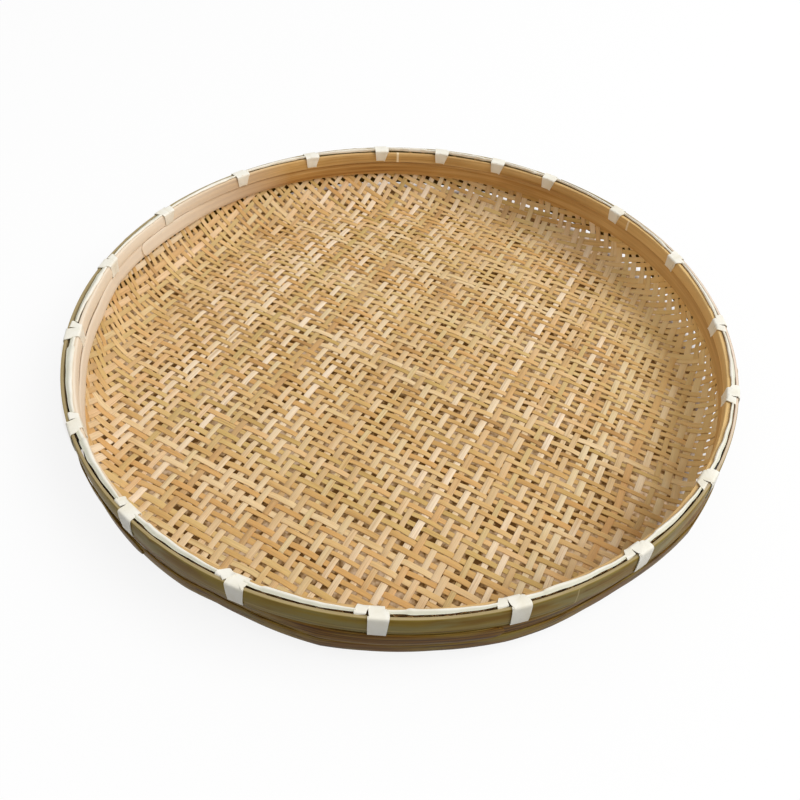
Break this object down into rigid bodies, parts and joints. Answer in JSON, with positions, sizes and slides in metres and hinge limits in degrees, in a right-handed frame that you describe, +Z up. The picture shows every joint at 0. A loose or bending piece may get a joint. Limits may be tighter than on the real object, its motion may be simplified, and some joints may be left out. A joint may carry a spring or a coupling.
{
  "type": "round flat bamboo basket",
  "caption": "Round shallow bamboo tray basket with an open woven base, bamboo rim hoops and a rim lashed with flat white band, for draining or drying food.",
  "frame": {"origin": "on the table under the middle of the tray, at the centre of its flat base", "axes": "+Z up out of the tray; X and Y lie in the base, with -Y towards the viewer of the picture"},
  "size_m": [0.6039, 0.604, 0.0684],
  "materials": {
    "woven_bamboo": "dry split bamboo, unvarnished",
    "bamboo_skin": "natural bamboo skin, satin",
    "split_bamboo": "planed split bamboo, matt",
    "packing_band": "ribbed polypropylene band, semi-matt"
  },
  "bodies": {
    "root": {"woven_mat": "woven_bamboo", "outer_hoop": "bamboo_skin", "inner_hoop": "split_bamboo", "inner_liner": "split_bamboo", "outer_liner": "bamboo_skin", "rim_tie_01": "packing_band", "rim_tie_02": "packing_band", "rim_tie_03": "packing_band", "rim_tie_04": "packing_band", "rim_tie_05": "packing_band", "rim_tie_06": "packing_band", "rim_tie_07": "packing_band", "rim_tie_08": "packing_band", "rim_tie_09": "packing_band", "rim_tie_10": "packing_band", "rim_tie_11": "packing_band", "rim_tie_12": "packing_band", "rim_tie_13": "packing_band", "rim_tie_14": "packing_band", "rim_tie_15": "packing_band", "rim_tie_16": "packing_band", "rim_tie_17": "packing_band", "rim_tie_18": "packing_band", "rim_tie_19": "packing_band", "rim_tie_20": "packing_band"}
  },
  "joints": []
}
